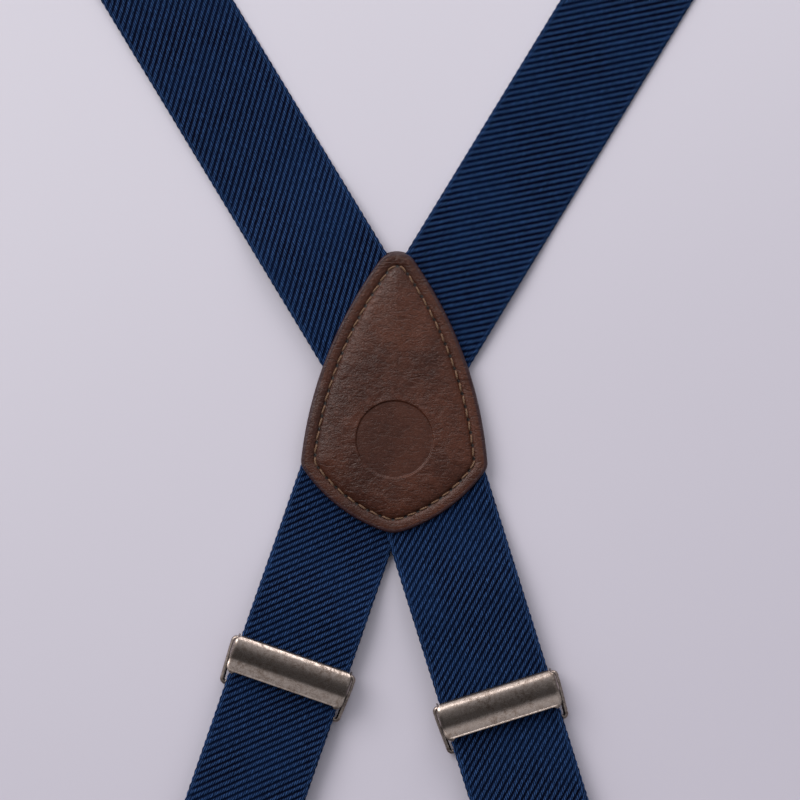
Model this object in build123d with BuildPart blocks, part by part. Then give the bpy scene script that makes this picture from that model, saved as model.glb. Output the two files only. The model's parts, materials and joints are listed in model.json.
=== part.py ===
from build123d import *
import os
from math import cos, radians, sin

# X-back trouser braces laid out flat, outer side up. Two elastic straps cross under a leather patch.
# The origin is on the surface that the braces lie on, where the straps cross. +Y points to the shoulders
# and the trouser fronts, -Y to the trouser back, +X to the wearer's right, +Z out of the wearer's back.

# --- straps ---
STRAP_WIDTH = 34.8
STRAP_THICK = 1.3
END_WIDTH = 31.0          # a strap's end is drawn in where it is sewn round the adjuster's bar
SEWN_TAIL = 22.0
FRONT_CUT = 853.0         # strap from its bend at the patch, round the ring and back to the adjuster's bar
REAR_CUT = 405.0
HEM_JOIN = 20.0           # how far short of the ring's highest place the strap's moving end starts
STITCH_ROWS = (13.0, 18.0)                       # rows of stitches in the sewn tail, from the bar
PATCH_CLEAR = 48.0        # along an arm: where the strap starts to leave the patch's height
REAR_LEVEL = 71.0         # where a rear strap has come up to the adjuster's height
FRONT_LEVEL = 75.0        # where a front strap has come down to the surface
SLIDE_ROOM = 100.0        # front straps are raised this far before the adjuster's axle
SLIDE_RAMP = 35.0

# --- patch ---
BACK_THICK = 1.2
FRONT_THICK = 1.4
PATCH_TOP = 38.2
PATCH_BOTTOM = -47.4
PATCH_HALF_WIDTH = 28.6
PATCH_CORNER_Y = -27.2
PATCH_LEAN = -0.8         # degrees, how far the patch leans to the wearer's right
STITCH_INSET = 4.0
STITCH_PITCH = 4.0
STITCH_LENGTH = 2.6
THREAD = 0.7
DISC_RADIUS = 11.8        # plain round deboss
DISC_CENTRE = (0.0, -19.0)
DISC_DEPTH = 0.25

# --- adjuster: a toothed cover that turns on a wire bail ---
WIRE = 1.5
WIRE_GAP = 0.1            # wire to webbing
AXLE_CLEARANCE = 0.05
SOFT_GAP = 0.3            # webbing to webbing of another body
BAIL_LENGTH = 14.1
BAIL_TOP_HALF = 19.3
BAIL_BAR_HALF = 18.7
BAIL_BEND = 1.0
BAIL_SHOULDER = 3.4       # how far the bail's legs stay at their widest, beside the cover's ears
COVER_HALF = 18.25
COVER_START = -0.9        # from the axle to the cover's upper edge
COVER_LENGTH = 10.9
COVER_CORNER = 2.2
COVER_EDGE = 4.0          # heights above the axle: upper edge, crest, crease and lip
COVER_CREST = 5.3
COVER_CREASE = 3.8
COVER_LIP = 4.25
CREASE_PLACE = 0.62       # of the cover's length
EDGE_FOLD = 0.5           # how far the upper edge is turned down
SHEET = 0.7
EAR_THICK = 0.6
EAR_RADIUS = 1.5
EAR_OUTLINE = ((-1.4, 0.5), (-0.4, 4.2), (1.8, 5.0), (4.4, 4.3), (5.2, 3.6), (1.3, -0.7))
TOOTH_PITCH = 3.2
TOOTH_COUNT = 10
TOOTH_PLACE = 0.9         # along, from the axle
TOOTH_THICK = 1.0
TOOTH_HALF = 1.1
TOOTH_TIP = 2.5           # heights above the axle
TOOTH_ROOT = 4.9

# --- ring and clip ---
RING_WIRE = 2.4
RING_HALF = 19.2
RING_STRAIGHT = 4.6
RING_LENGTH = 13.5
RING_FOOT_HALF = 10.5
RING_BEND = 2.0
PLATE = 1.0
PLATE_LENGTH = 46.0
PLATE_HALF = 11.4
KNUCKLE_HALF = 8.0
KNUCKLE_WALL = 0.9
LUG = 1.0
LUG_RADIUS = 2.1
PIN_ALONG = 20.0
PIN_HEIGHT = 6.0
PIN_RADIUS = 1.2
PIN_HEAD_RADIUS = 1.9
PIN_HEAD = 0.7
LEVER_HALF = 12.4
LEVER_SHEET = 0.9
LEVER_EAR = 0.8
LEVER_CORNER = 4.0
LEVER_START = 4.5         # places along the lever, from the knuckle
LEVER_END = 47.2
LEVER_KNEES = ((4.5, 12.3), (20.0, 9.2), (33.0, 6.3), (47.2, 6.1))
LEVER_KNEE_RADIUS = 14.0
LEVER_LIP = 1.5           # how far the jaw end is turned down
LEVER_EAR_RADIUS = 2.6
LEVER_EAR_OUTLINE = ((14.2, 9.9), (20.0, 8.7), (27.0, 7.2), (22.0, 4.4), (17.6, 5.0))
SPRING_HALF = 4.0
SPRING_STRIP = 0.6
SPRING_COIL_RADIUS = 2.2
SPRING_END = 9.0          # along, from the knuckle
SPRING_TOP = 10.4
PAD_START = 34.6
PAD_LENGTH = 10.0
PAD_HALF = 10.0
PAD_THICK = 2.0
PAD_GAP = 0.2
PAD_TEETH = 4
PAD_TOOTH = 0.6

# --- heights above the surface ---
LOWER_LAYER = BACK_THICK
UPPER_LAYER = BACK_THICK + STRAP_THICK
PATCH_HEIGHT = UPPER_LAYER + STRAP_THICK
BAR_HEIGHT = STRAP_THICK + WIRE_GAP + WIRE / 2
TAIL_TOP = BAR_HEIGHT + WIRE / 2 + WIRE_GAP + STRAP_THICK
RUN_HEIGHT = TAIL_TOP + SOFT_GAP                 # underside of a strap where the adjuster slides
AXLE_HEIGHT = RUN_HEIGHT - WIRE_GAP - WIRE / 2
RING_HEIGHT = (RUN_HEIGHT + STRAP_THICK) / 2
LOOP_OUTER = RING_HEIGHT
LOOP_INNER = LOOP_OUTER - STRAP_THICK


class Arm:
    """One of the four straight runs of strap, from its strap's bend under the patch outwards."""

    def __init__(self, name, bend, direction, axle, cut, travel_up, layer):
        self.name = name
        self.axle = axle                                        # the adjuster's axle along the arm
        self.bar = axle + BAIL_LENGTH
        self.ring = (cut + self.bar) / 2
        self.knuckle = self.ring + RING_LENGTH
        self.join = self.ring - travel_up - HEM_JOIN
        self.layer = layer
        along = (cos(radians(direction)), sin(radians(direction)), 0)
        self.frame = Plane(origin=(*bend, 0), x_dir=along, z_dir=(0, 0, 1))

    def side(self, along=0.0, across=0.0, height=0.0):
        """A plane for side profiles: x along the arm, y up."""
        origin = self.frame.from_local_coords((along, across, height))
        return Plane(origin=origin, x_dir=self.frame.x_dir, z_dir=-self.frame.y_dir)

    def top(self, along=0.0, height=0.0):
        """A plane for outlines seen from above: x along the arm, y across it."""
        origin = self.frame.from_local_coords((along, 0, height))
        return Plane(origin=origin, x_dir=self.frame.x_dir, z_dir=(0, 0, 1))

    def section(self, along=0.0, height=0.0):
        """A plane across the arm: x across it, y up."""
        origin = self.frame.from_local_coords((along, 0, height))
        return Plane(origin=origin, x_dir=self.frame.y_dir, z_dir=self.frame.x_dir)


LEFT_BEND = (0.7, -1.2)
RIGHT_BEND = (-3.3, -6.0)
FRONT_LEFT = Arm("front_left", LEFT_BEND, 90 + 31.2, 495.5, FRONT_CUT, 40, UPPER_LAYER)
FRONT_RIGHT = Arm("front_right", RIGHT_BEND, 90 - 31.4, 495.5, FRONT_CUT, 40, LOWER_LAYER)
REAR_LEFT = Arm("rear_left", RIGHT_BEND, 270 - 19.1, 84.4, REAR_CUT, 4, LOWER_LAYER)
REAR_RIGHT = Arm("rear_right", LEFT_BEND, 270 + 17.4, 99.2, REAR_CUT, 4, UPPER_LAYER)
ARMS = (FRONT_LEFT, FRONT_RIGHT, REAR_LEFT, REAR_RIGHT)


def run_of(arm):
    """The underside of an arm from the patch to its moving end, as (along, height) points."""
    if arm in (REAR_LEFT, REAR_RIGHT):
        return [
            (0, arm.layer),
            (PATCH_CLEAR, arm.layer),
            (REAR_LEVEL, RUN_HEIGHT),
            (arm.join, RUN_HEIGHT),
        ]
    slide_start = arm.axle - SLIDE_ROOM
    return [
        (0, arm.layer),
        (PATCH_CLEAR, arm.layer),
        (FRONT_LEVEL, 0),
        (slide_start - SLIDE_RAMP, 0),
        (slide_start, RUN_HEIGHT),
        (arm.join, RUN_HEIGHT),
    ]


def write(shape, name):
    shape.label = name
    export_step(shape, f"parts/{name}.step")


def make_strap(name, front, rear, bend):
    with BuildPart() as strap:
        for arm in (front, rear):
            under = run_of(arm)
            over = [(along, height + STRAP_THICK) for along, height in reversed(under)]
            with BuildSketch(arm.side()):
                with BuildLine():
                    Polyline(*under, *over, close=True)
                make_face()
            extrude(amount=STRAP_WIDTH / 2, both=True)
        with BuildSketch(Plane.XY.offset(front.layer)):
            with Locations(bend):
                Circle(STRAP_WIDTH / 2)
        extrude(amount=STRAP_THICK)
    write(strap.part, name)


def patch_outline():
    """A shield with a narrow rounded top, full sides, soft side corners and a blunt point below."""
    with BuildSketch() as outline:
        with BuildLine():
            for side in (1, -1):
                ThreePointArc(
                    (side * 4.6, PATCH_TOP - 1.6),
                    (side * 20.3, 8.2),
                    (side * PATCH_HALF_WIDTH, PATCH_CORNER_Y),
                )
                ThreePointArc(
                    (side * PATCH_HALF_WIDTH, PATCH_CORNER_Y),
                    (side * 15.4, -40.9),
                    (0, PATCH_BOTTOM - 0.6),
                )
            ThreePointArc((-4.6, PATCH_TOP - 1.6), (0, PATCH_TOP), (4.6, PATCH_TOP - 1.6))
        make_face()
        corners = outline.vertices().sort_by(Axis.Y)
        fillet(corners[0], radius=9)
        corners = outline.vertices().filter_by_position(Axis.Y, PATCH_CORNER_Y - 0.1, PATCH_CORNER_Y + 0.1)
        fillet(corners, radius=3.5)
        corners = outline.vertices().filter_by_position(Axis.Y, PATCH_TOP - 1.7, PATCH_TOP - 1.5)
        fillet(corners, radius=4)
    return outline.sketch.rotate(Axis.Z, PATCH_LEAN)


def make_patches():
    outline = patch_outline()
    with BuildPart() as back:
        add(outline)
        extrude(amount=BACK_THICK)
        fillet(back.faces().sort_by(Axis.Z)[0].edges(), radius=0.3)
    write(back.part, "back_patch")

    with BuildPart() as front:
        with BuildSketch(Plane.XY.offset(PATCH_HEIGHT)):
            add(outline)
        extrude(amount=FRONT_THICK)
        fillet(front.faces().sort_by(Axis.Z)[-1].edges(), radius=0.45)
        with BuildSketch(Plane.XY.offset(PATCH_HEIGHT + FRONT_THICK)):
            with Locations(Vector(*DISC_CENTRE).rotate(Axis.Z, PATCH_LEAN)):
                Circle(DISC_RADIUS)
        extrude(amount=-DISC_DEPTH, mode=Mode.SUBTRACT)
    write(front.part, "front_patch")

    seam = offset(outline, amount=-STITCH_INSET).faces()[0].outer_wire()
    count = round(seam.length / STITCH_PITCH)
    with BuildPart() as stitching:
        for index in range(count):
            place = (index + 0.5) / count
            centre = seam.position_at(place)
            along = seam.tangent_at(place)
            floor = Plane(
                origin=(centre.X, centre.Y, PATCH_HEIGHT + FRONT_THICK),
                x_dir=(along.X, along.Y, 0),
                z_dir=(0, 0, 1),
            )
            with BuildSketch(floor):
                SlotOverall(STITCH_LENGTH, THREAD)
            extrude(amount=THREAD / 2)
    write(stitching.part, "patch_stitching")


def make_strap_end(arm):
    """The strap's end: over the ring's bar, back underneath, and round the adjuster's lower bar."""
    with BuildPart() as end:
        with BuildSketch(arm.side()):
            with Locations((arm.ring, RING_HEIGHT)):
                Circle(LOOP_OUTER)
                Circle(LOOP_INNER, mode=Mode.SUBTRACT)
                Rectangle(2 * LOOP_OUTER, 2 * LOOP_OUTER, align=(Align.MAX, Align.CENTER), mode=Mode.SUBTRACT)
            with Locations((arm.join, RUN_HEIGHT)):
                Rectangle(arm.ring - arm.join, STRAP_THICK, align=(Align.MIN, Align.MIN))
            with Locations((arm.bar, 0)):
                Rectangle(arm.ring - arm.bar, STRAP_THICK, align=(Align.MIN, Align.MIN))
        extrude(amount=STRAP_WIDTH / 2, both=True)
        with BuildSketch(arm.top(arm.bar, 0)):
            for side in (1, -1):
                with Locations((0, side * END_WIDTH / 2)):
                    Rectangle(
                        10,
                        STRAP_WIDTH,
                        align=(Align.MIN, Align.MIN if side > 0 else Align.MAX),
                    )
        extrude(amount=STRAP_THICK, mode=Mode.SUBTRACT)
        with BuildSketch(arm.side()):
            with Locations((arm.bar, BAR_HEIGHT)):
                Circle(WIRE / 2 + WIRE_GAP + STRAP_THICK)
                Circle(WIRE / 2 + WIRE_GAP, mode=Mode.SUBTRACT)
                Rectangle(9, 9, align=(Align.MIN, Align.CENTER), mode=Mode.SUBTRACT)
            with BuildLine():
                Polyline(
                    (arm.bar, TAIL_TOP - STRAP_THICK),
                    (arm.bar + 2, TAIL_TOP - STRAP_THICK),
                    (arm.bar + 10, STRAP_THICK),
                    (arm.bar + SEWN_TAIL, STRAP_THICK),
                    (arm.bar + SEWN_TAIL, 2 * STRAP_THICK),
                    (arm.bar + 10, 2 * STRAP_THICK),
                    (arm.bar + 2, TAIL_TOP),
                    (arm.bar, TAIL_TOP),
                    close=True,
                )
            make_face()
        extrude(amount=END_WIDTH / 2, both=True)
    write(end.part, f"{arm.name}_strap_end")


def make_end_stitching(arm):
    """Two rows of lock stitches across the sewn tail."""
    with BuildPart() as stitching:
        for row in STITCH_ROWS:
            with BuildSketch(arm.top(arm.bar + row, 2 * STRAP_THICK)):
                with GridLocations(0, 3.4, 1, 8):
                    SlotOverall(STITCH_LENGTH, THREAD, rotation=90)
            extrude(amount=THREAD / 2)
    write(stitching.part, f"{arm.name}_end_stitching")


def make_bail(arm):
    """A closed wire loop: its upper bar is the cover's axle and its lower bar holds the strap's end."""
    drop = BAR_HEIGHT - AXLE_HEIGHT
    origin = arm.frame.from_local_coords((arm.axle, 0, AXLE_HEIGHT))
    across = arm.frame.y_dir
    down = (arm.frame.x_dir * BAIL_LENGTH + Vector(0, 0, drop)).normalized()
    tilted = Plane(origin=origin, x_dir=across, z_dir=across.cross(down))
    reach = (BAIL_LENGTH**2 + drop**2) ** 0.5
    with BuildPart() as bail:
        with BuildLine(tilted) as half:
            FilletPolyline(
                (0, 0),
                (BAIL_TOP_HALF, 0),
                (BAIL_TOP_HALF, BAIL_SHOULDER),
                (BAIL_BAR_HALF, reach),
                (0, reach),
                radius=BAIL_BEND,
            )
        with BuildSketch(half.line ^ 0):
            Circle(WIRE / 2)
        sweep(path=half.line)
        mirror(about=arm.side())
    write(bail.part, f"{arm.name}_adjuster_bail")


def make_cover(arm):
    """A pressed sheet cover: a rounded crest, a crease and a lip, with an ear at each end and inner teeth."""
    start = COVER_START
    end = COVER_START + COVER_LENGTH
    crease = start + CREASE_PLACE * COVER_LENGTH
    peak = start + COVER_LENGTH / 4
    valley = (crease + end) / 2 - 0.4
    with BuildPart() as cover:
        with BuildSketch(arm.side(arm.axle, 0, AXLE_HEIGHT)):
            with BuildLine():
                crest = ThreePointArc((start, COVER_EDGE), (peak, COVER_CREST), (crease, COVER_CREASE + 0.1))
                lip = ThreePointArc(crest @ 1, (valley, COVER_CREASE), (end, COVER_LIP))
                under_lip = ThreePointArc(
                    (end, COVER_LIP - SHEET),
                    (valley, COVER_CREASE - SHEET),
                    (crease - 0.2, COVER_CREASE + 0.1 - SHEET),
                )
                under_crest = ThreePointArc(
                    under_lip @ 1,
                    (peak, COVER_CREST - SHEET),
                    (start + SHEET, COVER_EDGE - EDGE_FOLD),
                )
                Polyline(under_crest @ 1, (start, COVER_EDGE - EDGE_FOLD), crest @ 0)
                Line(lip @ 1, under_lip @ 0)
            make_face()
        extrude(amount=COVER_HALF, both=True)
        with BuildSketch(arm.top(arm.axle + (start + end) / 2)):
            RectangleRounded(COVER_LENGTH, 2 * COVER_HALF, COVER_CORNER)
        extrude(amount=AXLE_HEIGHT + COVER_CREST + 1, mode=Mode.INTERSECT)
        for side in (1, -1):
            with BuildSketch(arm.side(arm.axle, side * (COVER_HALF - EAR_THICK), AXLE_HEIGHT)):
                Circle(EAR_RADIUS)
                Polygon(*EAR_OUTLINE, align=None)
                Circle(WIRE / 2 + AXLE_CLEARANCE, mode=Mode.SUBTRACT)
            extrude(amount=-side * EAR_THICK)
        with BuildSketch(arm.section(arm.axle + TOOTH_PLACE, AXLE_HEIGHT)):
            with GridLocations(TOOTH_PITCH, 0, TOOTH_COUNT, 1):
                Polygon(
                    (-TOOTH_HALF, TOOTH_ROOT),
                    (0, TOOTH_TIP),
                    (TOOTH_HALF, TOOTH_ROOT),
                    align=None,
                )
        extrude(amount=TOOTH_THICK)
    write(cover.part, f"{arm.name}_adjuster_cover")


def make_ring(arm):
    """A flat wire ring: a wide bar in the strap's loop, and a narrow bar in the clip's knuckle."""
    with BuildPart() as ring:
        with BuildLine(arm.top(arm.ring, RING_HEIGHT)) as half:
            FilletPolyline(
                (0, 0),
                (0, RING_HALF),
                (RING_STRAIGHT, RING_HALF),
                (RING_LENGTH, RING_FOOT_HALF),
                (RING_LENGTH, 0),
                radius=RING_BEND,
            )
        with BuildSketch(half.line ^ 0):
            Circle(RING_WIRE / 2)
        sweep(path=half.line)
        mirror(about=arm.side())
    write(ring.part, f"{arm.name}_ring")


def make_back_plate(arm):
    """The clip's back plate, rolled round the ring at one end, with two lugs for the hinge pin."""
    hole = RING_WIRE / 2 + AXLE_CLEARANCE
    with BuildPart() as plate:
        with BuildSketch(arm.top(arm.knuckle)):
            with Locations((PLATE_LENGTH / 2, 0)):
                RectangleRounded(PLATE_LENGTH, 2 * PLATE_HALF, 3)
        extrude(amount=PLATE)
        with BuildSketch(arm.side(arm.knuckle)):
            with Locations((0, RING_HEIGHT)):
                Circle(hole + KNUCKLE_WALL)
            with Locations((-1.4, 0)):
                Rectangle(4.4, 1.6, align=(Align.MIN, Align.MIN))
        extrude(amount=KNUCKLE_HALF, both=True)
        with BuildSketch(arm.side(arm.knuckle)):
            with Locations((0, RING_HEIGHT)):
                Circle(hole)
        extrude(amount=PLATE_HALF, both=True, mode=Mode.SUBTRACT)
        for side in (1, -1):
            with BuildSketch(arm.side(arm.knuckle, side * (PLATE_HALF - LUG))):
                with Locations((PIN_ALONG, PIN_HEIGHT)):
                    Circle(LUG_RADIUS)
                with Locations((PIN_ALONG, 0)):
                    Trapezoid(9, PIN_HEIGHT, 80, align=(Align.CENTER, Align.MIN))
                with Locations((PIN_ALONG, PIN_HEIGHT)):
                    Circle(PIN_RADIUS + 0.02, mode=Mode.SUBTRACT)
            extrude(amount=-side * LUG)
        with BuildSketch(arm.side(arm.knuckle)):
            with Locations((PLATE_LENGTH - PLATE, 0)):
                Rectangle(PLATE, PLATE + 1.2, align=(Align.MIN, Align.MIN))
        extrude(amount=PAD_HALF - 2, both=True)
    write(plate.part, f"{arm.name}_clip_back_plate")


def make_lever(arm):
    """The clip's front: a thumb end above the ring, ears on the hinge pin, and a jaw with a turned lip."""
    middle = (LEVER_START + LEVER_END) / 2
    underside = [(along, height - LEVER_SHEET) for along, height in LEVER_KNEES]
    jaw_height = LEVER_KNEES[-1][1]
    with BuildPart() as lever:
        with BuildSketch(arm.side(arm.knuckle)):
            with BuildLine():
                over = FilletPolyline(*LEVER_KNEES, radius=LEVER_KNEE_RADIUS)
                under = FilletPolyline(*underside, radius=LEVER_KNEE_RADIUS)
                Line(over @ 0, under @ 0)
                Line(over @ 1, under @ 1)
            make_face()
            with Locations((LEVER_END - LEVER_SHEET, jaw_height - LEVER_SHEET / 2)):
                Rectangle(LEVER_SHEET, LEVER_SHEET + LEVER_LIP, align=(Align.MIN, Align.MAX))
        extrude(amount=LEVER_HALF, both=True)
        with BuildSketch(arm.top(arm.knuckle + middle)):
            RectangleRounded(LEVER_END - LEVER_START, 2 * LEVER_HALF, LEVER_CORNER)
        extrude(amount=15, mode=Mode.INTERSECT)
        for side in (1, -1):
            with BuildSketch(arm.side(arm.knuckle, side * (LEVER_HALF - LEVER_EAR))):
                with Locations((PIN_ALONG, PIN_HEIGHT)):
                    Circle(LEVER_EAR_RADIUS)
                Polygon(*LEVER_EAR_OUTLINE, align=None)
                with Locations((PIN_ALONG, PIN_HEIGHT)):
                    Circle(PIN_RADIUS + AXLE_CLEARANCE, mode=Mode.SUBTRACT)
            extrude(amount=-side * LEVER_EAR)
    write(lever.part, f"{arm.name}_clip_lever")


def make_pin(arm):
    with BuildPart() as pin:
        with BuildSketch(arm.side(arm.knuckle)):
            with Locations((PIN_ALONG, PIN_HEIGHT)):
                Circle(PIN_RADIUS)
        extrude(amount=LEVER_HALF + 0.2, both=True)
        for side in (1, -1):
            with BuildSketch(arm.side(arm.knuckle, side * (LEVER_HALF + 0.2))):
                with Locations((PIN_ALONG, PIN_HEIGHT)):
                    Circle(PIN_HEAD_RADIUS)
            extrude(amount=-side * PIN_HEAD)
        fillet(pin.faces().filter_by(GeomType.PLANE).sort_by_distance(pin.part.center())[-1].edges(), radius=0.3)
    write(pin.part, f"{arm.name}_clip_pin")


def make_spring(arm):
    """A bent strip of spring steel: round the pin, one leg on the plate, the other under the thumb end."""
    outer = SPRING_COIL_RADIUS
    inner = outer - SPRING_STRIP
    with BuildPart() as spring:
        with BuildSketch(arm.side(arm.knuckle)):
            with Locations((PIN_ALONG, PIN_HEIGHT)):
                Circle(outer)
                Circle(inner, mode=Mode.SUBTRACT)
                Rectangle(2 * outer, 2 * outer, align=(Align.MAX, Align.CENTER), mode=Mode.SUBTRACT)
            Polygon(
                (PIN_ALONG, PIN_HEIGHT + inner),
                (PIN_ALONG, PIN_HEIGHT + outer),
                (SPRING_END, SPRING_TOP),
                (SPRING_END, SPRING_TOP - SPRING_STRIP),
                align=None,
            )
            Polygon(
                (PIN_ALONG, PIN_HEIGHT - inner),
                (PIN_ALONG, PIN_HEIGHT - outer),
                (SPRING_END, PLATE + AXLE_CLEARANCE),
                (SPRING_END, PLATE + AXLE_CLEARANCE + SPRING_STRIP),
                align=None,
            )
        extrude(amount=SPRING_HALF, both=True)
    write(spring.part, f"{arm.name}_clip_spring")


def make_pad(arm, name, base, tips):
    """A jaw pad with teeth across it, its flat back at height base and its tooth tips at height tips."""
    root = tips + PAD_TOOTH * (1 if base > tips else -1)
    pitch = PAD_LENGTH / PAD_TEETH
    teeth = []
    for index in range(PAD_TEETH):
        teeth.append((PAD_START + index * pitch, root))
        teeth.append((PAD_START + (index + 0.5) * pitch, tips))
    with BuildPart() as pad:
        with BuildSketch(arm.side(arm.knuckle)):
            with BuildLine():
                Polyline(
                    (PAD_START, base),
                    *teeth,
                    (PAD_START + PAD_LENGTH, root),
                    (PAD_START + PAD_LENGTH, base),
                    close=True,
                )
            make_face()
        extrude(amount=PAD_HALF, both=True)
    write(pad.part, f"{arm.name}_{name}")


os.makedirs("parts", exist_ok=True)
make_strap("left_shoulder_strap", FRONT_LEFT, REAR_RIGHT, LEFT_BEND)
make_strap("right_shoulder_strap", FRONT_RIGHT, REAR_LEFT, RIGHT_BEND)
make_patches()
for arm in ARMS:
    make_strap_end(arm)
    make_end_stitching(arm)
    make_bail(arm)
    make_cover(arm)
    make_ring(arm)
    make_back_plate(arm)
    make_lever(arm)
    make_pin(arm)
    make_spring(arm)
    make_pad(arm, "clip_back_pad", PLATE, PLATE + PAD_THICK)
    make_pad(arm, "clip_front_pad", PLATE + 2 * PAD_THICK + PAD_GAP, PLATE + PAD_THICK + PAD_GAP)
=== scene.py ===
import json
import math

import bmesh
import bpy
import numpy as np
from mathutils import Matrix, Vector, kdtree


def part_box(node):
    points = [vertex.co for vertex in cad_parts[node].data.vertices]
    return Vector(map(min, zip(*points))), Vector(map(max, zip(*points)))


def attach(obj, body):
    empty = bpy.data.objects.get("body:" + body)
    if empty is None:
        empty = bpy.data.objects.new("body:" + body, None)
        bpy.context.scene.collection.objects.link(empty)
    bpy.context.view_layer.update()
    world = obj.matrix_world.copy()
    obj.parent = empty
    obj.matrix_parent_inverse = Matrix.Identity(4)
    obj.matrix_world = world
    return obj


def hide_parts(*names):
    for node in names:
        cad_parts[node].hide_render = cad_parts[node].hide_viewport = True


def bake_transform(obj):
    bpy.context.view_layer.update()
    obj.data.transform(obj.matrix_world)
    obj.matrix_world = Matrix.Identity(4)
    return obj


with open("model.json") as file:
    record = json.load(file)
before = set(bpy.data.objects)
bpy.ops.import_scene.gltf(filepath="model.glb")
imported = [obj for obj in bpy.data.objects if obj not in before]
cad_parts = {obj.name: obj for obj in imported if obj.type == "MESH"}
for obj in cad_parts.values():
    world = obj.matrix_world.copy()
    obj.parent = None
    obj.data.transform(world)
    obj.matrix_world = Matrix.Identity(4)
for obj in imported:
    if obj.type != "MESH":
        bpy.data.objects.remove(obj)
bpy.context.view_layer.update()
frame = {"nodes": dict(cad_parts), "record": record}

MM = 0.001

# ---------------------------------------------------------------- sizes, in metres
STRAP_WIDTH = 34.8 * MM
END_WIDTH = 30.8 * MM            # where the strap's end is sewn round the adjuster's bar
RIB_PITCH = 2.35 * MM            # twill ribs, along the strap
RIB_ANGLE = math.radians(47)     # between the ribs and the strap
RIB_DEPTH = 0.26 * MM
BEAD_PITCH = 0.88 * MM           # woven loops along a rib
SELVEDGE = 1.7 * MM              # where the ribs fade out beside the strap's edge
WIRE = 1.5 * MM
WIRE_GAP = 0.1 * MM
SEWN_TAIL = 22 * MM              # strap past the adjuster's bar, sewn to the layer under it
BAIL_LENGTH = 14.1 * MM          # from the cover's axle to the bar
PIN_ALONG = 20 * MM              # the clip's hinge pin, from the knuckle
COVER_HALF = 18.35 * MM
COVER_START = -0.9 * MM          # from the axle
COVER_LENGTH = 10.9 * MM
COVER_CORNER = 1.9 * MM
SHEET = 0.7 * MM
EAR_THICK = 0.6 * MM
TOOTH_PITCH = 3.2 * MM
TOOTH_COUNT = 10
STITCH_INSET = 4.0 * MM
STITCH_PITCH = 4.0 * MM
PATCH_LEAN = math.radians(-0.8)
DISC_BELOW = 19.0 * MM           # the pressed disc, below the crossing
DISC_RADIUS = 11.8 * MM

BACK_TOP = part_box("back_patch")[1].z
PATCH_UNDER, PATCH_TOP = (corner.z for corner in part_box("front_patch"))
STRAP_THICK = (PATCH_UNDER - BACK_TOP) / 2
RUN_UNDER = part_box("left_shoulder_strap")[1].z - STRAP_THICK

DISC = DISC_BELOW * np.array((math.sin(PATCH_LEAN), -math.cos(PATCH_LEAN)))


def smooth(t):
    t = np.clip(t, 0, 1)
    return t * t * (3 - 2 * t)


# ---------------------------------------------------------------- the arms, read from the joints
JOINTS = {j["name"]: j for j in frame["record"]["behaviour"]["joints"]}


class Arm:
    """A straight run of strap with its adjuster, ring and clip.

    Along is measured from the strap's bend, and layer is the height of the strap's underside there.
    """

    def __init__(self, name, layer):
        self.name = name
        self.layer = layer
        self.out = -np.array(JOINTS[f"{name}_strap_length"]["axis"][:2])
        self.left = np.array((-self.out[1], self.out[0]))
        self.axle_point = np.array(JOINTS[f"{name}_adjuster_lever"]["pos_m"])
        self.ring_point = np.array(JOINTS[f"{name}_ring_swivel"]["pos_m"])
        self.knuckle_point = np.array(JOINTS[f"{name}_clip_swivel"]["pos_m"])
        self.pin_height = JOINTS[f"{name}_clip_jaw"]["pos_m"][2]

    def join(self, other):
        """Sets the bend where this arm meets the other arm of the same strap."""
        gap = other.axle_point[:2] - self.axle_point[:2]
        turn = self.out[0] * other.out[1] - self.out[1] * other.out[0]
        reach = (gap[0] * other.out[1] - gap[1] * other.out[0]) / turn
        self.bend = self.axle_point[:2] + self.out * reach
        self.other = other
        self.axle = float(np.dot(self.axle_point[:2] - self.bend, self.out))
        self.ring = float(np.dot(self.ring_point[:2] - self.bend, self.out))
        self.knuckle = float(np.dot(self.knuckle_point[:2] - self.bend, self.out))
        self.bar = self.axle + BAIL_LENGTH
        self.axle_height = float(self.axle_point[2])
        self.ring_height = float(self.ring_point[2])

    def point(self, along, across=0.0, height=0.0):
        flat = self.bend + self.out * along + self.left * across
        return Vector((flat[0], flat[1], height))


UPPER = BACK_TOP + STRAP_THICK
ARMS = {
    "front_left": Arm("front_left", UPPER),
    "front_right": Arm("front_right", BACK_TOP),
    "rear_left": Arm("rear_left", BACK_TOP),
    "rear_right": Arm("rear_right", UPPER),
}
STRAPS = {
    "left_shoulder_strap": (ARMS["front_left"], ARMS["rear_right"]),
    "right_shoulder_strap": (ARMS["front_right"], ARMS["rear_left"]),
}
for front_arm, rear_arm in STRAPS.values():
    front_arm.join(rear_arm)
    rear_arm.join(front_arm)


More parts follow.
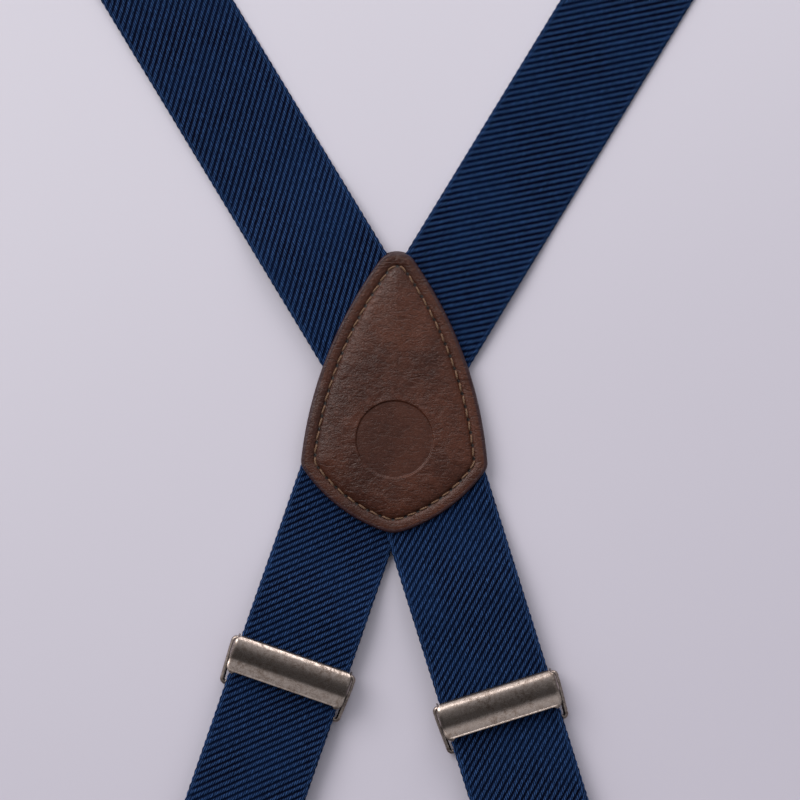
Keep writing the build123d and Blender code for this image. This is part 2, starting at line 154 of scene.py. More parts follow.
# ---------------------------------------------------------------- materials
class Nodes:
    """A small builder for one material's node tree."""

    def __init__(self, name):
        self.material = bpy.data.materials.new(name)
        self.material.use_nodes = True
        self.tree = self.material.node_tree
        self.shader = self.tree.nodes["Principled BSDF"]

    def node(self, kind, settings=None, **inputs):
        made = self.tree.nodes.new(kind)
        for key, value in (settings or {}).items():
            setattr(made, key, value)
        for key, value in inputs.items():
            self.feed(made.inputs[key.replace("_", " ")], value)
        return made

    def feed(self, socket, value):
        if hasattr(value, "is_output"):
            self.tree.links.new(value, socket)
        else:
            socket.default_value = value

    def math(self, operation, *values):
        made = self.tree.nodes.new("ShaderNodeMath")
        made.operation = operation
        for socket, value in zip(made.inputs, values):
            self.feed(socket, value)
        return made.outputs[0]

    def ramp(self, value, low, high, to_low=0.0, to_high=1.0):
        made = self.tree.nodes.new("ShaderNodeMapRange")
        made.interpolation_type = "SMOOTHSTEP"
        for socket, item in zip(made.inputs, (value, low, high, to_low, to_high)):
            self.feed(socket, item)
        return made.outputs[0]

    def mix(self, factor, first, second):
        made = self.tree.nodes.new("ShaderNodeMix")
        made.data_type = "RGBA"
        self.feed(made.inputs[0], factor)
        self.feed(made.inputs[6], first)
        self.feed(made.inputs[7], second)
        return made.outputs[2]

    def noise(self, vector, scale, detail=3.0, roughness=0.5):
        made = self.node("ShaderNodeTexNoise", Vector=vector, Scale=scale, Detail=detail, Roughness=roughness)
        return made.outputs[0]

    def place(self):
        return self.node("ShaderNodeTexCoord").outputs["Object"]

    def bump(self, height, distance, strength):
        return self.node("ShaderNodeBump", Height=height, Distance=distance, Strength=strength).outputs[0]

    def finish(self, colour, roughness, normal=None, **constants):
        for name, value in (("Base Color", colour), ("Roughness", roughness), ("Normal", normal)):
            if value is not None:
                self.feed(self.shader.inputs[name], value)
        for key, value in constants.items():
            self.shader.inputs[key.replace("_", " ")].default_value = value
        return self.material


def elastic_material():
    """Navy twill elastic. UV x counts the ribs, UV y is millimetres across the strap."""
    n = Nodes("navy_elastic")
    uv = n.node("ShaderNodeUVMap", {"uv_map": "weave"}).outputs[0]
    split = n.node("ShaderNodeSeparateXYZ", Vector=uv)
    wobble = n.noise(uv, 1.1, 2.0)
    jitter = n.math("SUBTRACT", wobble, 0.5)
    rib = n.math("ADD", split.outputs[0], n.math("MULTIPLY", jitter, 0.34))
    across = split.outputs[1]
    from_top = n.math("ABSOLUTE", n.math("SUBTRACT", n.math("FRACT", rib), 0.5))
    groove = n.ramp(from_top, 0.14, 0.40)
    along_rib = n.math("DIVIDE", across, BEAD_PITCH / MM * math.sin(RIB_ANGLE))
    bead_phase = n.math("ADD", n.math("ADD", along_rib, n.math("MULTIPLY", rib, 0.42)),
                        n.math("MULTIPLY", jitter, 1.2))
    bead = n.math("ABSOLUTE", n.math("SUBTRACT", n.math("FRACT", bead_phase), 0.5))
    bead_gap = n.ramp(bead, 0.10, 0.38)
    half = STRAP_WIDTH / MM / 2
    edge = n.ramp(n.math("ABSOLUTE", across), half - SELVEDGE / MM, half - 0.9)
    stretch = n.node("ShaderNodeMapping", Vector=uv)
    stretch.inputs["Scale"].default_value = (1.2, 6.0, 1.0)
    fibre = n.noise(stretch.outputs[0], 3.0)
    broad = n.noise(n.place(), 55.0, 2.0)
    painted_shade_navy = (0.00005, 0.0005, 0.0075, 1)
    navy = (0.0050, 0.025, 0.090, 1)
    light = (0.060, 0.134, 0.335, 1)
    # Lighter fibres, also raised in the bump: partly the yarn's own tone, partly a painted highlight on the
    # raised fibres.
    colour = n.mix(n.ramp(fibre, 0.3, 0.75), navy, light)
    # Gaps between the beads and the rib grooves are painted near black: painted shade in the weave's hollows.
    colour = n.mix(n.math("MULTIPLY", bead_gap, 0.93), colour, painted_shade_navy)
    groove_shade = n.math("SUBTRACT", 0.97, n.math("MULTIPLY", edge, 0.55))
    colour = n.mix(n.math("MULTIPLY", groove, groove_shade), colour, painted_shade_navy)
    colour = n.mix(n.ramp(broad, 0.35, 0.7, 0.0, 0.2), colour, navy)
    height = n.math("SUBTRACT", 1.0, n.math("MULTIPLY", bead_gap, 0.8))
    height = n.math("ADD", height, n.math("MULTIPLY", fibre, 0.5))
    height = n.math("SUBTRACT", height, n.math("MULTIPLY", groove, 0.8))
    return n.finish(
        colour=colour,
        roughness=n.ramp(fibre, 0.2, 0.8, 0.62, 0.85),
        normal=n.bump(height, 0.00018, 0.9),
        Specular_IOR_Level=0.05,
    )


def leather_material(name, base, deep_tone_and_shade, lift, edge):
    """Smooth brown leather: pebbled grain, fine creases and a painted edge.

    UV x of the seam map counts stitches along the seam, and UV y is millimetres in from it.
    UV x of the rim map is millimetres in from the patch's edge.
    """
    n = Nodes(name)
    place = n.place()
    turned = n.node("ShaderNodeMapping", {"vector_type": "POINT"}, Vector=place)
    turned.inputs["Rotation"].default_value = (0, 0, math.radians(38))
    turned.inputs["Scale"].default_value = (1.0, 2.6, 1.0)
    creases = n.node("ShaderNodeTexNoise", Vector=turned.outputs[0], Scale=330.0, Detail=4.0, Roughness=0.6,
                     Distortion=0.7)
    cells = n.node("ShaderNodeTexVoronoi", {"feature": "DISTANCE_TO_EDGE"}, Vector=place, Scale=1150.0)
    grain = n.ramp(cells.outputs[0], 0.0, 0.24)
    pebble = n.noise(place, 900.0, 4.0, 0.6)
    mottle = n.noise(place, 60.0, 4.0, 0.6)
    crease = n.ramp(creases.outputs[0], 0.34, 0.52)
    colour = n.mix(n.ramp(mottle, 0.3, 0.72), deep_tone_and_shade, base)
    # Raised pebbles are painted lighter: a painted highlight on the grain's tops.
    colour = n.mix(n.ramp(pebble, 0.48, 0.72, 0.0, 0.5), colour, lift)
    # Grain lines and crease valleys, low in the bump, are painted darker: painted shade in their hollows.
    colour = n.mix(n.math("MULTIPLY", n.math("SUBTRACT", 1.0, grain), 0.35), colour, deep_tone_and_shade)
    colour = n.mix(n.math("MULTIPLY", n.math("SUBTRACT", 1.0, crease), 0.45), colour, deep_tone_and_shade)
    centre = n.node("ShaderNodeVectorMath", {"operation": "SUBTRACT"})
    n.feed(centre.inputs[0], place)
    centre.inputs[1].default_value = (*DISC, PATCH_TOP)
    from_disc = n.node("ShaderNodeVectorMath", {"operation": "LENGTH"})
    n.feed(from_disc.inputs[0], centre.outputs[0])
    in_disc = n.ramp(from_disc.outputs["Value"], DISC_RADIUS - 0.3 * MM, DISC_RADIUS + 0.1 * MM, 1.0, 0.0)
    seam = n.node("ShaderNodeSeparateXYZ", Vector=n.node("ShaderNodeUVMap", {"uv_map": "seam"}).outputs[0])
    stitch, side = seam.outputs[0], seam.outputs[1]
    rim = n.node("ShaderNodeSeparateXYZ", Vector=n.node("ShaderNodeUVMap", {"uv_map": "rim"}).outputs[0])
    inset = rim.outputs[0]
    nearest = n.math("ABSOLUTE", n.math("SUBTRACT", n.math("FRACT", n.math("ADD", stitch, 0.5)), 0.5))
    away_along = n.math("POWER", n.math("MULTIPLY", nearest, STITCH_PITCH / MM), 2.0)
    away = n.math("SQRT", n.math("ADD", away_along, n.math("POWER", side, 2.0)))
    hole_shade = n.ramp(away, 0.34, 0.66, 1.0, 0.0)
    seam_shade = n.ramp(n.math("ABSOLUTE", side), 0.1, 0.8, 0.35, 0.0)
    painted = n.ramp(inset, 0.75, 1.25, 1.0, 0.0)
    colour = n.mix(n.math("MULTIPLY", in_disc, 0.3), colour, deep_tone_and_shade)
    colour = n.mix(seam_shade, colour, deep_tone_and_shade)
    colour = n.mix(painted, colour, edge)
    # Needle holes are painted near black at the stitch ends: painted shade where the mesh has no holes.
    colour = n.mix(n.math("MULTIPLY", hole_shade, 0.95), colour, (0.004, 0.002, 0.0015, 1))
    height = n.math("ADD", n.math("MULTIPLY", grain, 0.30), n.math("MULTIPLY", crease, 0.75))
    height = n.math("ADD", height, n.math("MULTIPLY", pebble, 1.1))
    height = n.math("MULTIPLY", height, n.math("SUBTRACT", 1.0, n.math("MULTIPLY", in_disc, 0.5)))
    uneven = n.math("ADD", n.math("MULTIPLY", mottle, 0.5), n.math("MULTIPLY", pebble, 0.5))
    rough = n.ramp(uneven, 0.3, 0.7, 0.30, 0.46)
    return n.finish(
        colour=colour,
        roughness=rough,
        normal=n.bump(height, 0.00015, 0.8),
        Specular_IOR_Level=0.36,
    )


def thread_material(name, base, shade):
    """Twisted sewing thread: fine slanted strands along each stitch."""
    n = Nodes(name)
    place = n.place()
    strands = n.node("ShaderNodeTexWave", {"bands_direction": "DIAGONAL"}, Vector=place, Scale=900.0,
                     Distortion=1.5)
    fuzz = n.noise(place, 4000.0, 2.0)
    colour = n.mix(n.math("MULTIPLY", strands.outputs[1], 0.8), shade, base)
    colour = n.mix(n.ramp(fuzz, 0.3, 0.7, 0.0, 0.3), colour, base)
    return n.finish(
        colour=colour,
        roughness=0.7,
        normal=n.bump(strands.outputs[1], 0.00005, 0.8),
        Sheen_Weight=0.15,
    )


def nickel_material(name, bright, tarnish, rough_low, rough_high):
    """Aged nickel plate, blotched with brown tarnish that gathers in patches."""
    n = Nodes(name)
    place = n.place()
    blotch = n.noise(place, 620.0, 6.0, 0.7)
    speck = n.noise(place, 1700.0, 4.0, 0.8)
    broad = n.noise(place, 120.0, 3.0)
    mixed = n.math("ADD", n.math("MULTIPLY", blotch, 0.5), n.math("MULTIPLY", speck, 0.5))
    dirt = n.math("MULTIPLY", n.ramp(mixed, 0.42, 0.60), n.ramp(broad, 0.3, 0.65, 0.55, 1.0))
    colour = n.mix(dirt, bright, tarnish)
    rough = n.ramp(n.math("ADD", n.math("MULTIPLY", dirt, 0.7), n.math("MULTIPLY", speck, 0.3)), 0.1, 0.9,
                   rough_low, rough_high)
    height = n.math("ADD", n.math("MULTIPLY", speck, 0.6), n.math("MULTIPLY", blotch, 0.4))
    return n.finish(
        colour=colour,
        roughness=rough,
        normal=n.bump(height, 0.00003, 0.5),
        Metallic=1.0,
    )


def plastic_material():
    """Black moulded plastic with a fine, uneven skin."""
    n = Nodes("jaw_plastic")
    grain = n.noise(n.place(), 1500.0, 3.0)
    colour = n.mix(n.ramp(grain, 0.3, 0.7), (0.008, 0.008, 0.009, 1), (0.02, 0.02, 0.022, 1))
    return n.finish(
        colour=colour,
        roughness=n.ramp(grain, 0.2, 0.8, 0.45, 0.62),
        normal=n.bump(grain, 0.00004, 0.4),
    )


def floor_material():
    """A plain pale surface with painted light: a little paler towards the main light, darker away from it."""
    n = Nodes("pale_floor")
    tone = n.noise(n.place(), 2.5, 2.0)
    colour = n.mix(n.ramp(tone, 0.3, 0.7), (0.60, 0.565, 0.66, 1), (0.63, 0.595, 0.69, 1))
    split = n.node("ShaderNodeSeparateXYZ", Vector=n.place())
    # Painted light: the floor's colour is paler towards the main light and darker away from it.
    toward_light = n.math("SUBTRACT", n.math("MULTIPLY", split.outputs[1], 1.5),
                           n.math("MULTIPLY", split.outputs[0], 0.6))
    paler = n.ramp(toward_light, -0.35, 0.35)
    colour = n.mix(paler, n.mix(0.11, colour, (0, 0, 0, 1)), n.mix(0.42, colour, (0.93, 0.91, 0.97, 1)))
    return n.finish(colour=colour, roughness=0.9)


ELASTIC = elastic_material()
LEATHER = leather_material(
    "brown_leather",
    base=(0.080, 0.0205, 0.0080, 1),
    deep_tone_and_shade=(0.033, 0.0070, 0.0022, 1),
    lift=(0.115, 0.043, 0.028, 1),
    edge=(0.032, 0.0100, 0.0110, 1),
)
THREAD = thread_material("tan_thread", (0.20, 0.105, 0.052, 1), (0.075, 0.033, 0.016, 1))
NAVY_THREAD = thread_material("navy_thread", (0.012, 0.032, 0.09, 1), (0.003, 0.009, 0.03, 1))
NICKEL = nickel_material("aged_nickel", (0.40, 0.335, 0.30, 1), (0.135, 0.10, 0.083, 1), 0.24, 0.42)
SPRING = nickel_material("spring_steel", (0.55, 0.55, 0.56, 1), (0.25, 0.24, 0.23, 1), 0.22, 0.4)
PLASTIC = plastic_material()


# ---------------------------------------------------------------- mesh helpers
def link(name, data):
    obj = bpy.data.objects.new(name, data)
    bpy.context.scene.collection.objects.link(obj)
    return obj


def shade_smooth(mesh):
    mesh.polygons.foreach_set("use_smooth", np.ones(len(mesh.polygons), bool))


def make_object(name, verts, faces, material):
    mesh = bpy.data.meshes.new(name)
    mesh.from_pydata([tuple(v) for v in verts], [], [tuple(f) for f in faces])
    mesh.validate()
    mesh.update()
    mesh.materials.append(material)
    shade_smooth(mesh)
    return link(name, mesh)


def corner_values(mesh, collection, field):
    values = np.empty(len(getattr(mesh, collection)), int)
    getattr(mesh, collection).foreach_get(field, values)
    return values


def set_corner_uv(obj, name, per_corner):
    obj.data.uv_layers.new(name=name).data.foreach_set("uv", per_corner.astype(np.float32).ravel())


def set_uv(obj, name, per_vertex):
    set_corner_uv(obj, name, per_vertex[corner_values(obj.data, "loops", "vertex_index")])


def face_outward(obj, merge=False):
    work = bmesh.new()
    work.from_mesh(obj.data)
    if merge:
        bmesh.ops.remove_doubles(work, verts=work.verts, dist=1e-7)
    bmesh.ops.recalc_face_normals(work, faces=work.faces)
    work.to_mesh(obj.data)
    work.free()


def object_from(build, name):
    """Ends a bmesh and makes it an object."""
    mesh = bpy.data.meshes.new(name)
    build.to_mesh(mesh)
    build.free()
    return link(name, mesh)


def add_bevel(obj, width, angle):
    edges = obj.modifiers.new("edges", "BEVEL")
    edges.width = width
    edges.segments = 3
    edges.limit_method = "ANGLE"
    edges.angle_limit = math.radians(angle)


def apply_modifiers(obj):
    graph = bpy.context.evaluated_depsgraph_get()
    mesh = bpy.data.meshes.new_from_object(obj.evaluated_get(graph))
    obj.modifiers.clear()
    obj.data = mesh


# ---------------------------------------------------------------- straps
BEND_REACH = 9 * MM              # how far each side of the crossing a strap's slight turn is spread
STEP = 0.25 * MM
EDGE_NAP = 0.1 * MM              # how far the ribs' ends stand out at the strap's edge
EDGE_RELIEF_LOSS = 0.65
LOOP_MARGIN = 20 * MM            # strap on each side of the ring that belongs to the loop
RAMP_START = 48 * MM             # where the straps leave the level that they have under the patch
REAR_RAMP = 23 * MM
FRONT_RAMP = 27 * MM
FRONT_LEVEL_RUN = 100 * MM       # at full height before the adjuster, which leaves room for its slide
FRONT_RISE = 35 * MM
TAIL_LEVEL = 1 * MM
TAIL_DROP = 9 * MM
TAPER_START = 12 * MM            # before the sewn tail, where the strap's edges are back at full width
TAPER = 14 * MM


class Path:
    """The strap's middle line in an arm's upright plane: along and height against length of strap."""

    def __init__(self, along, height):
        along, height = np.array(along), np.array(height)
        length = np.concatenate(([0], np.cumsum(np.hypot(np.diff(along), np.diff(height)))))
        keep = np.concatenate(([True], np.diff(length) > 1e-9))
        self.along, self.height, self.length = along[keep], height[keep], length[keep]
        slope_a = np.gradient(self.along, self.length)
        slope_h = np.gradient(self.height, self.length)
        size = np.hypot(slope_a, slope_h)
        self.up_a, self.up_h = -slope_h / size, slope_a / size

    def at(self, length):
        """Along, height and upward normal at lengths of strap; before its start the line goes straight on."""
        lines = (self.along, self.height, self.up_a, self.up_h)
        along, height, up_a, up_h = (np.interp(length, self.length, values) for values in lines)
        return along + np.minimum(length, 0), height, up_a, up_h


def run_heights(arm, along):
    """Height of the strap's middle from the patch to the ring."""
    if arm.name.startswith("front"):
        down = arm.layer * (1 - smooth((along - RAMP_START) / FRONT_RAMP))
        rise_start = arm.axle - FRONT_LEVEL_RUN - FRONT_RISE
        level = down + RUN_UNDER * smooth((along - rise_start) / FRONT_RISE)
    else:
        level = arm.layer + (RUN_UNDER - arm.layer) * smooth((along - RAMP_START) / REAR_RAMP)
    return level + STRAP_THICK / 2


def arc(centre, radius, start, end, count=40):
    angle = np.radians(np.linspace(start, end, count))
    return centre[0] + radius * np.cos(angle), centre[1] + radius * np.sin(angle)


def strap_path(arm):
    """From the patch along the top, round the ring, back underneath, and round the bar to the sewn tail."""
    top = np.arange(0, arm.ring, STEP)
    ring_loop = arc((arm.ring, arm.ring_height), arm.ring_height - STRAP_THICK / 2, 90, -90)
    under = np.arange(arm.ring, arm.bar, -STEP)
    bar_height = STRAP_THICK + WIRE_GAP + WIRE / 2
    wrap_radius = WIRE / 2 + WIRE_GAP + STRAP_THICK / 2
    wrap = arc((arm.bar, bar_height), wrap_radius, 270, 90)
    tail = np.arange(arm.bar, arm.bar + SEWN_TAIL, STEP)
    tail_top = bar_height + wrap_radius
    tail_drop = smooth((tail - arm.bar - TAIL_LEVEL) / TAIL_DROP)
    tail_height = tail_top + (1.5 * STRAP_THICK - tail_top) * tail_drop
    return Path(
        np.concatenate((top, ring_loop[0], under, wrap[0], tail)),
        np.concatenate(
            (run_heights(arm, top), ring_loop[1], np.full(len(under), STRAP_THICK / 2), wrap[1], tail_height)
        ),
    )


def plan(arm, along, across):
    """Seen from above: where a point of the strap lies, with the strap's slight turn under the patch."""
    here, there = arm.out, arm.other.out
    t = np.clip((along + BEND_REACH) / (2 * BEND_REACH), 0, 1)[..., None]
    start, end = arm.bend + there * BEND_REACH, arm.bend + here * BEND_REACH
    centre = (1 - t) ** 2 * start + 2 * t * (1 - t) * arm.bend + t**2 * end
    beyond = np.maximum(along - BEND_REACH, 0)[..., None] * here
    before = np.maximum(-along - BEND_REACH, 0)[..., None] * there
    heading = 2 * (1 - t) * (arm.bend - start) + 2 * t * (end - arm.bend)
    heading = heading / np.linalg.norm(heading, axis=-1, keepdims=True)
    normal = np.stack((-heading[..., 1], heading[..., 0]), axis=-1)
    return centre + beyond + before + normal * across[..., None]


# Rows across half of the strap, as shares of the half width; the tight bends need many.
EDGE_ROWS = [0.9, 0.95, 0.985, 1]
FEW_ROWS = [0.15, 0.45, 0.7]
MANY_ROWS = list(np.arange(0.03, 0.88, 0.06))
# Columns within one rib, as shares of its pitch.
PHASES = np.array([0.0, 0.1, 0.26, 0.5, 0.74, 0.9])


def strap_mesh(name, arm, path, first, last, inner_rows):
    """A band of ribbed elastic: each column of points follows one line of the weave across the strap."""
    half_rows = np.array(inner_rows + EDGE_ROWS)
    across_rows = np.concatenate((-half_rows[::-1], half_rows))
    loop = np.concatenate((across_rows, across_rows[-2:0:-1]))
    face = np.concatenate(([0], np.ones(len(across_rows) - 2), [0], -np.ones(len(across_rows) - 2)))
    across = loop * STRAP_WIDTH / 2

    whole = np.arange(round(first / RIB_PITCH), round(last / RIB_PITCH))
    column = np.append((whole[:, None] + PHASES[None, :]).ravel(), whole[-1] + 1.0)
    skew = across[None, :] / math.tan(RIB_ANGLE)
    length = np.minimum(column[:, None] * RIB_PITCH - skew, path.length[-1])
    rib = (length + skew) / RIB_PITCH
    along, height, up_a, up_h = path.at(length)

    fullness = np.interp(np.abs(loop), [0.95, 0.985, 1.0], [1.0, 0.72, 0.0]) * face
    rise = np.sqrt(np.clip(1 - (2 * (rib % 1.0) - 1) ** 2, 0, 1))
    fade = 1 - smooth((np.abs(across) - (STRAP_WIDTH / 2 - SELVEDGE)) / (SELVEDGE * 0.7)) * EDGE_RELIEF_LOSS
    relief = (rise - 1) * RIB_DEPTH * (fade * face)[None, :]
    half = fullness[None, :] * STRAP_THICK / 2 + relief
    nap = EDGE_NAP * np.sin(2 * np.pi * rib) * ((np.abs(loop) >= EDGE_ROWS[-2]) * np.sign(loop))[None, :]
    from_end = path.length[-1] - length
    drawn_in = 1 - smooth((from_end - (SEWN_TAIL + TAPER_START)) / TAPER)
    scale = 1 - (1 - END_WIDTH / STRAP_WIDTH) * drawn_in
    flat = plan(arm, along + up_a * half, across[None, :] * scale + nap)
    verts = np.dstack((flat, height + up_h * half)).reshape(-1, 3)

    rows, columns = len(loop), len(column)
    faces = []
    for c in range(columns - 1):
        for r in range(rows):
            nxt = (r + 1) % rows
            faces.append((c * rows + r, (c + 1) * rows + r, (c + 1) * rows + nxt, c * rows + nxt))
    faces.append(tuple(range(rows)))
    faces.append(tuple((columns - 1) * rows + r for r in reversed(range(rows))))
    obj = make_object(name, verts, faces, ELASTIC)
    set_uv(obj, "weave", np.column_stack((rib.ravel(), np.tile(across / MM, columns))))
    face_outward(obj, merge=True)
    return obj


def make_arm_straps(strap, arm, end):
    """One arm of a strap in three pieces; the loop round the ring follows the strap's end."""
    path = strap_path(arm)
    top_end = path.length[np.argmax(path.along >= arm.ring - STEP)]
    loop_length = math.pi * (arm.ring_height - STRAP_THICK / 2)
    cuts = [0, top_end - LOOP_MARGIN, top_end + loop_length + LOOP_MARGIN, path.length[-1] + STRAP_WIDTH / 2]
    cuts = [round(cut / RIB_PITCH) * RIB_PITCH for cut in cuts]
    fixed = LOOP_MARGIN + STRAP_WIDTH / 2 / math.tan(RIB_ANGLE) + 2 * MM
    strap_end = f"{arm.name}_strap_end"

    run = strap_mesh(f"{strap}_{end}", arm, path, cuts[0], cuts[1], FEW_ROWS)
    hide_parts(strap)
    start = arm.axle + 12 * MM if end == "rear" else arm.axle - 60 * MM
    arm.point(start)
    arm.point(arm.ring - fixed)
    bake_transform(run)

    loop = strap_mesh(f"{arm.name}_strap_loop", arm, path, cuts[1], cuts[2], MANY_ROWS)
    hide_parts(strap_end)
    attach(loop, strap_end)

    back = strap_mesh(f"{arm.name}_strap_return", arm, path, cuts[2], cuts[3], MANY_ROWS)
    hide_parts(strap_end)
    arm.point(arm.ring - fixed)
    arm.point(arm.bar + SEWN_TAIL + 8 * MM)
    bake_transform(back)


for strap_name, strap_arms in STRAPS.items():
    for strap_arm, arm_end in zip(strap_arms, ("front", "rear")):
        make_arm_straps(strap_name, strap_arm, arm_end)


# ---------------------------------------------------------------- leather patch
COLUMNS = 900
RIM_INSETS = np.array([
    0, 0.03, 0.1, 0.2, 0.32, 0.46, 0.6, 0.72, 0.9, 1.15, 1.45, 1.8, 2.15, 2.5, 2.8, 3.05, 3.3, 3.5, 3.7,
    3.9, 4.1, 4.3, 4.5, 4.7, 4.95, 5.25, 5.6, 6.1, 6.7,
]) * MM
DISC_RINGS = np.array([                # shares of the disc's radius
    0.06, 0.2, 0.4, 0.6, 0.75, 0.85, 0.92, 0.96, 0.98, 0.992, 1.004, 1.016, 1.03, 1.06, 1.1,
])
BETWEEN = 36                     # rings between the disc and the rim
SKIRT_INSETS = (0.1 * MM, 0.32 * MM, 0.7 * MM, 3 * MM, 7 * MM)
FAR_INSET = 30 * MM              # for the middle of a patch, past all that depends on its rim
ROLL = 0.7 * MM                  # radius of the front patch's rolled edge
PATCH_THICK = PATCH_TOP - PATCH_UNDER
OUTLINE_PASSES = 12
SEAM_PASSES = 60
SAG = 1.5 * MM                   # how far the patch's rim sinks where no strap is under it
SAG_REACH = 9 * MM
BACK_LIFT = 0.35 * MM
BACK_WIDER = 0.15 * MM
BACK_CROWN = 0.35 * MM           # how much more of the back patch shows above the front one's tip
CROWN_LEVEL = 38 * MM
CROWN_SPREAD = 6 * MM
# The front patch's relief, in millimetres: swell inside the rim, sewn groove, filled middle, disc, puckers.
BAND_INSET, BAND_SPREAD, BAND_HEIGHT = 2.1, 1.1, 0.18
GROOVE_SPREAD, GROOVE_DEPTH = 0.6, 0.40
DOME_REACH, DOME_HEIGHT = 4.0, 1.75
PULL_SPREAD, PULL_DEPTH = 1.6, 0.12
DISC_DEPTH, DISC_EDGE = 0.42, 0.3
LIP_PLACE, LIP_SPREAD, LIP_HEIGHT = 0.55, 0.4, 0.07
PUCKER_SIZE, PUCKER_SEED, PUCKER_HEIGHT = 9, 3, 0.10
# Stitches: the share of the pitch left at each end, their slant, and the thread's height and half width.
STITCH_END = 0.12
STITCH_SLANT = 0.16 * MM
THREAD_HEIGHT, THREAD_DIVE = 0.24, 0.70
THREAD_HALF, THREAD_TAPER = 0.30, 0.12
THREAD_PLY, THREAD_TWIST = 0.09, 11.0
THREAD_AROUND, THREAD_STEPS = 10, 15


def resample(points, count):
    """Even spacing round a closed line."""
    closed = np.vstack((points, points[:1]))
    length = np.concatenate(([0], np.cumsum(np.linalg.norm(np.diff(closed, axis=0), axis=1))))
    at = np.linspace(0, length[-1], count, endpoint=False)
    return np.column_stack([np.interp(at, length, closed[:, i]) for i in (0, 1)]), length[-1]


def inward(line):
    heading = np.roll(line, -1, 0) - np.roll(line, 1, 0)
    heading /= np.linalg.norm(heading, axis=1, keepdims=True)
    return np.column_stack((-heading[:, 1], heading[:, 0]))


def soften(line, passes):
    for _ in range(passes):
        line = (np.roll(line, 1, 0) + 2 * line + np.roll(line, -1, 0)) / 4
    return line


def patch_outline():
    """The patch's outline, from the underside of the CAD patch, evenly spaced and smoothed."""
    corners = np.array([v.co for v in frame["nodes"]["front_patch"].data.vertices])
    rim = corners[corners[:, 2] < PATCH_UNDER + 1e-5][:, :2]
    angle = np.arctan2(rim[:, 1] - DISC[1], rim[:, 0] - DISC[0])
    line, _ = resample(rim[np.argsort(angle)], COLUMNS)
    return resample(soften(line, OUTLINE_PASSES), COLUMNS)[0]


OUTLINE = patch_outline()


class Line:
    """A closed line that says how far inside it a point lies, and where along it the nearest place is."""

    def __init__(self, points, count):
        self.points, self.length = resample(points, count)
        self.inward = inward(self.points)
        self.count = count
        self.tree = kdtree.KDTree(count)
        for index, point in enumerate(self.points):
            self.tree.insert((*point, 0), index)
        self.tree.balance()

    def nearest(self, points):
        found = [self.tree.find((x, y, 0)) for x, y in points]
        index = np.array([f[1] for f in found])
        inside = np.einsum("ij,ij->i", points - self.points[index], self.inward[index])
        return np.array([f[2] for f in found]) * np.where(inside < 0, -1, 1), index / self.count


FINE = 8 * COLUMNS
SEAM = Line(soften(resample(OUTLINE + inward(OUTLINE) * STITCH_INSET, COLUMNS)[0], SEAM_PASSES), FINE)
STITCH_COUNT = round(SEAM.length / STITCH_PITCH)


def beyond_straps(points):
    """How far each point lies outside the straps, seen from above."""
    gap = np.full(len(points), np.inf)
    for arm in ARMS.values():
        local = points - arm.bend
        along, across = local @ arm.out, local @ arm.left
        gap = np.minimum(gap, np.maximum(np.abs(across) - STRAP_WIDTH / 2, -along))
    return np.maximum(gap, 0)


def sag(points):
    return SAG * smooth(beyond_straps(points) / SAG_REACH)


def wave_noise(points, scale, seed):
    """Soft repeatable noise from a few crossing waves, about -1 to 1."""
    rng = np.random.default_rng(seed)
    total = np.zeros(len(points))
    for octave in range(4):
        for _ in range(5):
            angle, phase = rng.uniform(0, 2 * math.pi, 2)
            size = scale / (1.6**octave) * rng.uniform(0.8, 1.25)
            wave = points[:, 0] * math.cos(angle) + points[:, 1] * math.sin(angle)
            total += np.sin(2 * math.pi * wave / size + phase) / (5 * 1.5**octave)
    return total


def patch_relief(inset, points):
    """Height above the patch's underside: a rolled rim, a sewn groove and a filled middle."""
    d = inset / MM
    roll = np.where(d < ROLL / MM, np.sqrt(np.clip(1 - (1 - d / (ROLL / MM)) ** 2, 0, 1)), 1.0)
    height = ROLL + (PATCH_THICK - ROLL) * roll
    from_seam = SEAM.nearest(points)[0] / MM
    band = BAND_HEIGHT * np.exp(-(((d - BAND_INSET) / BAND_SPREAD) ** 2))
    groove = -GROOVE_DEPTH * np.exp(-((from_seam / GROOVE_SPREAD) ** 2))
    dome = DOME_HEIGHT * (1 - np.exp(-np.maximum(from_seam + 0.1, 0) / DOME_REACH))
    pull = PULL_DEPTH * np.exp(-((from_seam / PULL_SPREAD) ** 2))
    from_disc = np.hypot(points[:, 0] - DISC[0], points[:, 1] - DISC[1])
    past_edge = (from_disc - DISC_RADIUS) / MM
    disc = -DISC_DEPTH * (1 - smooth((past_edge + DISC_EDGE / 2) / DISC_EDGE))
    lip = LIP_HEIGHT * np.exp(-(((past_edge - LIP_PLACE) / LIP_SPREAD) ** 2))
    puckers = PUCKER_HEIGHT * wave_noise(points, PUCKER_SIZE * MM, PUCKER_SEED)
    puckers = puckers * smooth((from_seam - 0.1) / 3) * (from_disc > DISC_RADIUS)
    return height + (band + groove + dome - pull + disc + lip + puckers) * MM


